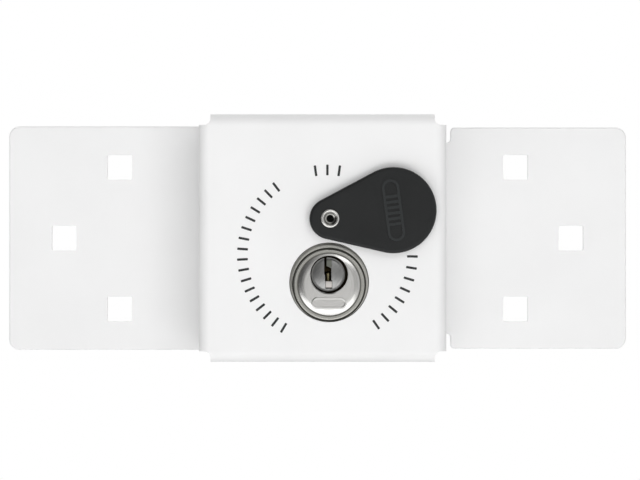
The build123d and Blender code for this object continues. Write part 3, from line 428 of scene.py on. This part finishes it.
def pale_floor():
    """Matt floor paint: keeps the shadow, glows a little to the camera, and is white where mirrored."""
    material, tree, output = new_material("pale_floor")
    rays = add_node(tree, "ShaderNodeLightPath")
    glow = add_node(tree, "ShaderNodeMath", {0: rays.outputs["Is Camera Ray"]}, operation="MULTIPLY")
    glow.inputs[1].default_value = FLOOR_GLOW
    paint = add_node(tree, "ShaderNodeBsdfPrincipled", {"Emission Strength": glow.outputs["Value"]},
                     Roughness=0.8)
    paint.inputs["Base Color"].default_value = linear("#F2F2F2")
    paint.inputs["Emission Color"].default_value = linear("#FFFFFF")
    mirrored = add_node(tree, "ShaderNodeMath",
                        {0: rays.outputs["Is Glossy Ray"], 1: rays.outputs["Is Transmission Ray"]},
                        operation="MAXIMUM")
    white = add_node(tree, "ShaderNodeEmission", Strength=1.0)
    white.inputs["Color"].default_value = linear("#FFFFFF")
    shown = add_node(tree, "ShaderNodeMixShader", {0: mirrored.outputs["Value"], 1: paint.outputs["BSDF"],
                                                   2: white.outputs["Emission"]})
    tree.links.new(shown.outputs["Shader"], output.inputs["Surface"])
    return material


def grey_room():
    """Wall that metal mirrors: white at the right, dark towards the left, grey at its far left."""
    material, tree, output = new_material("grey_room")
    place = add_node(tree, "ShaderNodeTexCoord")
    slope = add_node(tree, "ShaderNodeVectorMath", {0: place.outputs["Object"]}, operation="DOT_PRODUCT")
    slope.inputs[1].default_value = [part / ROOM_RADIUS for part in ROOM_SLOPE]
    leftward = add_node(tree, "ShaderNodeMapRange", {"Value": slope.outputs["Value"]},
                        From_Min=-1.0, From_Max=1.0)
    grey = add_node(tree, "ShaderNodeValToRGB", {"Fac": leftward.outputs["Result"]})
    set_ramp(grey, (0.0, "#FFFFFF"), (0.3, "#B4B4B3"), (0.42, "#C8C8C7"), (0.5, "#EAEAE9"),
             (0.6, "#B0B0AF"), (0.7, "#5A5A5A"), (0.88, "#4C4C4C"), (1.0, "#BCBCBB"))
    glow = add_node(tree, "ShaderNodeEmission", {"Color": grey.outputs["Color"]}, Strength=1.0)
    tree.links.new(glow.outputs["Emission"], output.inputs["Surface"])
    return material


def make_object(name, mesh, material):
    """A scene object made from a finished bmesh."""
    made = bpy.data.objects.new(name, bpy.data.meshes.new(name))
    mesh.to_mesh(made.data)
    mesh.free()
    made.data.materials.append(material)
    bpy.context.scene.collection.objects.link(made)
    return made


def tick(bm, angle):
    """One printed tick: a thin rounded bar that points away from the print's centre."""
    made = bmesh.ops.create_grid(bm, x_segments=1, y_segments=1, size=0.5)["verts"]
    bmesh.ops.scale(bm, verts=made, vec=(TICK_LENGTH, TICK_WIDTH, 1.0))
    corners = bmesh.ops.bevel(bm, geom=made, offset=TICK_CORNER, segments=3, profile=0.5,
                              affect="VERTICES", material=-1)
    faces = {face for vert in corners["verts"] for face in vert.link_faces}
    raised = bmesh.ops.extrude_face_region(bm, geom=list(faces))["geom"]
    top = [part for part in raised if isinstance(part, bmesh.types.BMVert)]
    bmesh.ops.translate(bm, verts=top, vec=(0.0, 0.0, PRINT_THICKNESS))
    body = list({vert for face in faces for vert in face.verts} | set(top))
    upright = Matrix.Rotation(math.radians(90.0), 4, "X")
    turned = Matrix.Rotation(-math.radians(angle), 4, "Y")
    place = Matrix.Translation((PRINT_X, HOUSING_FACE_Y, PRINT_Z))
    reach = Matrix.Translation((PRINT_RADIUS, 0.0, 0.0))
    bmesh.ops.transform(bm, matrix=place @ turned @ reach @ upright, verts=body)


def lamp(name, place, width, height, power, mirrored):
    """A soft box that shines on the lock, and shows in its metal where it is mirrored."""
    data = bpy.data.lights.new(name, "AREA")
    data.shape = "RECTANGLE"
    data.size = width
    data.size_y = height
    data.energy = power
    holder = bpy.data.objects.new(name, data)
    holder.location = place
    holder.rotation_euler = (-Vector(place)).to_track_quat("-Z", "Y").to_euler()
    holder.visible_camera = False
    holder.visible_glossy = mirrored
    bpy.context.scene.collection.objects.link(holder)


# Finishes by the record's slots
finishes = {
    "white_powder_coat": white_powder_coat(),
    "stainless_cap": polished_stainless(),
    "black_cover": moulded_black(),
    # Zinc plate: bright, with a faint spangle about 1 mm across
    "zinc_plated_steel": worked_metal("zinc_plated_steel", "#A4A7AB", "#BEC1C4", 0.34, 1.1 * MM, 0.2),
    "bright_rivet": bright_nickel(),
    # As cast zinc alloy: dull grey with a grain of about 0.5 mm
    "cast_zinc": worked_metal("cast_zinc_alloy", "#7F8285", "#979A9C", 0.5, 0.5 * MM, 0.5),
    # Turned brass: warm yellow, faintly mottled
    "brass": worked_metal("turned_brass", "#A98A4B", "#C2A566", 0.3, 0.67 * MM, 0.15),
    # Hardened spring steel: darker, straw tinted
    "spring_steel": worked_metal("spring_steel", "#76736E", "#8C8984", 0.32, 0.71 * MM, 0.1),
}
# Brass of the cylinder, painted nearly black as the shade in its recess
painted_shade_brass = worked_metal("painted_shade_brass", "#241F17", "#332C20", 0.6, 0.67 * MM, 0.3)
# Nickel silver of the key pins, paler than the brass around them
pin_metal = worked_metal("nickel_silver", "#8C8463", "#B0A684", 0.3, 0.67 * MM, 0.1)
# Pressed steel of the disc's shells: dull and mottled
pressed_steel = worked_metal("pressed_stainless_steel", "#6C6D6E", "#828384", 0.6, 1.4 * MM, 0.25)
# Pieces that look different from the rest of their slot
own_finish = {
    "plug": nickel_faced_brass(),
    "cylinder_body": painted_shade_brass,
    "disc_front_shell": pressed_steel,
    "disc_rear_shell": pressed_steel,
}
slot_of = {row["node"]: row["material_slot"] for row in frame["record"]["subparts"]}
for name, node in nodes.items():
    finish = own_finish.get(name, finishes[slot_of[name]])
    if name.startswith("key_pin"):
        finish = pin_metal
    node.data.materials.clear()
    node.data.materials.append(finish)

# Print on the housing's face
print_mesh = bmesh.new()
for first, last in (LEFT_ARC, RIGHT_ARC, TOP_ARC):
    steps = int((last - first) / TICK_STEP)
    for i in range(steps + 1):
        tick(print_mesh, first + i * (last - first) / steps)
bmesh.ops.recalc_face_normals(print_mesh, faces=print_mesh.faces)
marks = make_object("printed_marks", print_mesh, black_ink())
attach(marks, "lock_body")

# Floor: a pale disc that takes the lock's shadow
floor_mesh = bmesh.new()
bmesh.ops.create_circle(floor_mesh, cap_ends=True, segments=128, radius=FLOOR_RADIUS,
                        matrix=Matrix.Translation((0.0, 0.0, FLOOR_Z)))
floor = make_object("floor", floor_mesh, pale_floor())

# Room: the front part of a large sphere, which only the lock's reflections see
room_mesh = bmesh.new()
bmesh.ops.create_uvsphere(room_mesh, u_segments=48, v_segments=24, radius=ROOM_RADIUS)
bmesh.ops.bisect_plane(room_mesh, geom=room_mesh.verts[:] + room_mesh.edges[:] + room_mesh.faces[:],
                       plane_co=(0.0, ROOM_BACK_Y, 0.0), plane_no=(0.0, 1.0, 0.0), clear_outer=True)
room = make_object("room", room_mesh, grey_room())
room.visible_camera = False
room.visible_diffuse = False
room.visible_transmission = False
room.visible_shadow = False

# Lamps: place, width and height in metres, power in watts, and whether metal mirrors them
lamp("front_light", (0.14, -1.5, 0.0), 1.4, 1.5, 7.9, False)
lamp("key_light", (0.32, -1.05, -0.5), 0.6, 0.6, 1.3, False)
lamp("low_light", (-0.14, -0.66, -0.32), 1.15, 0.3, 1.85, True)
lamp("rim_light", (0.3, -0.8, 0.4), 0.36, 0.2, 0.35, True)
lamp("top_light", (0.0, 0.6, 1.4), 1.0, 1.0, 8.0, False)
lamp("back_light", (0.3, 1.4, -0.1), 1.0, 1.0, 5.0, False)

# World: white to the camera and in reflections, a plain level on everything else
world = bpy.data.worlds.new("studio")
bpy.context.scene.world = world
world.use_nodes = True
sky = world.node_tree
sky.nodes.clear()
rays = add_node(sky, "ShaderNodeLightPath")
seen = add_node(sky, "ShaderNodeMath",
                {0: rays.outputs["Is Camera Ray"], 1: rays.outputs["Is Glossy Ray"]}, operation="MAXIMUM")
shown = add_node(sky, "ShaderNodeMath",
                 {0: seen.outputs["Value"], 1: rays.outputs["Is Transmission Ray"]}, operation="MAXIMUM")
level = add_node(sky, "ShaderNodeMapRange", {"Value": shown.outputs["Value"]},
                 To_Min=AMBIENT_LEVEL, To_Max=1.0)
ambient = add_node(sky, "ShaderNodeBackground", {"Strength": level.outputs["Result"]})
ambient.inputs["Color"].default_value = linear("#FFFFFF")
add_node(sky, "ShaderNodeOutputWorld", {"Surface": ambient.outputs["Background"]})

# Camera
camera_data = bpy.data.cameras.new("camera")
camera_data.sensor_width = SENSOR_WIDTH
camera_data.lens = SENSOR_WIDTH * (HOUSING_FACE_Y - CAMERA_Y) / FIELD_WIDTH
camera_data.clip_start = 0.01
camera_data.clip_end = 20.0
camera = bpy.data.objects.new("camera", camera_data)
camera.location = (CAMERA_X, CAMERA_Y, CAMERA_Z)
camera.rotation_euler = (math.radians(90.0), 0.0, 0.0)
bpy.context.scene.collection.objects.link(camera)
bpy.context.scene.camera = camera
bpy.context.scene.view_settings.view_transform = "Standard"
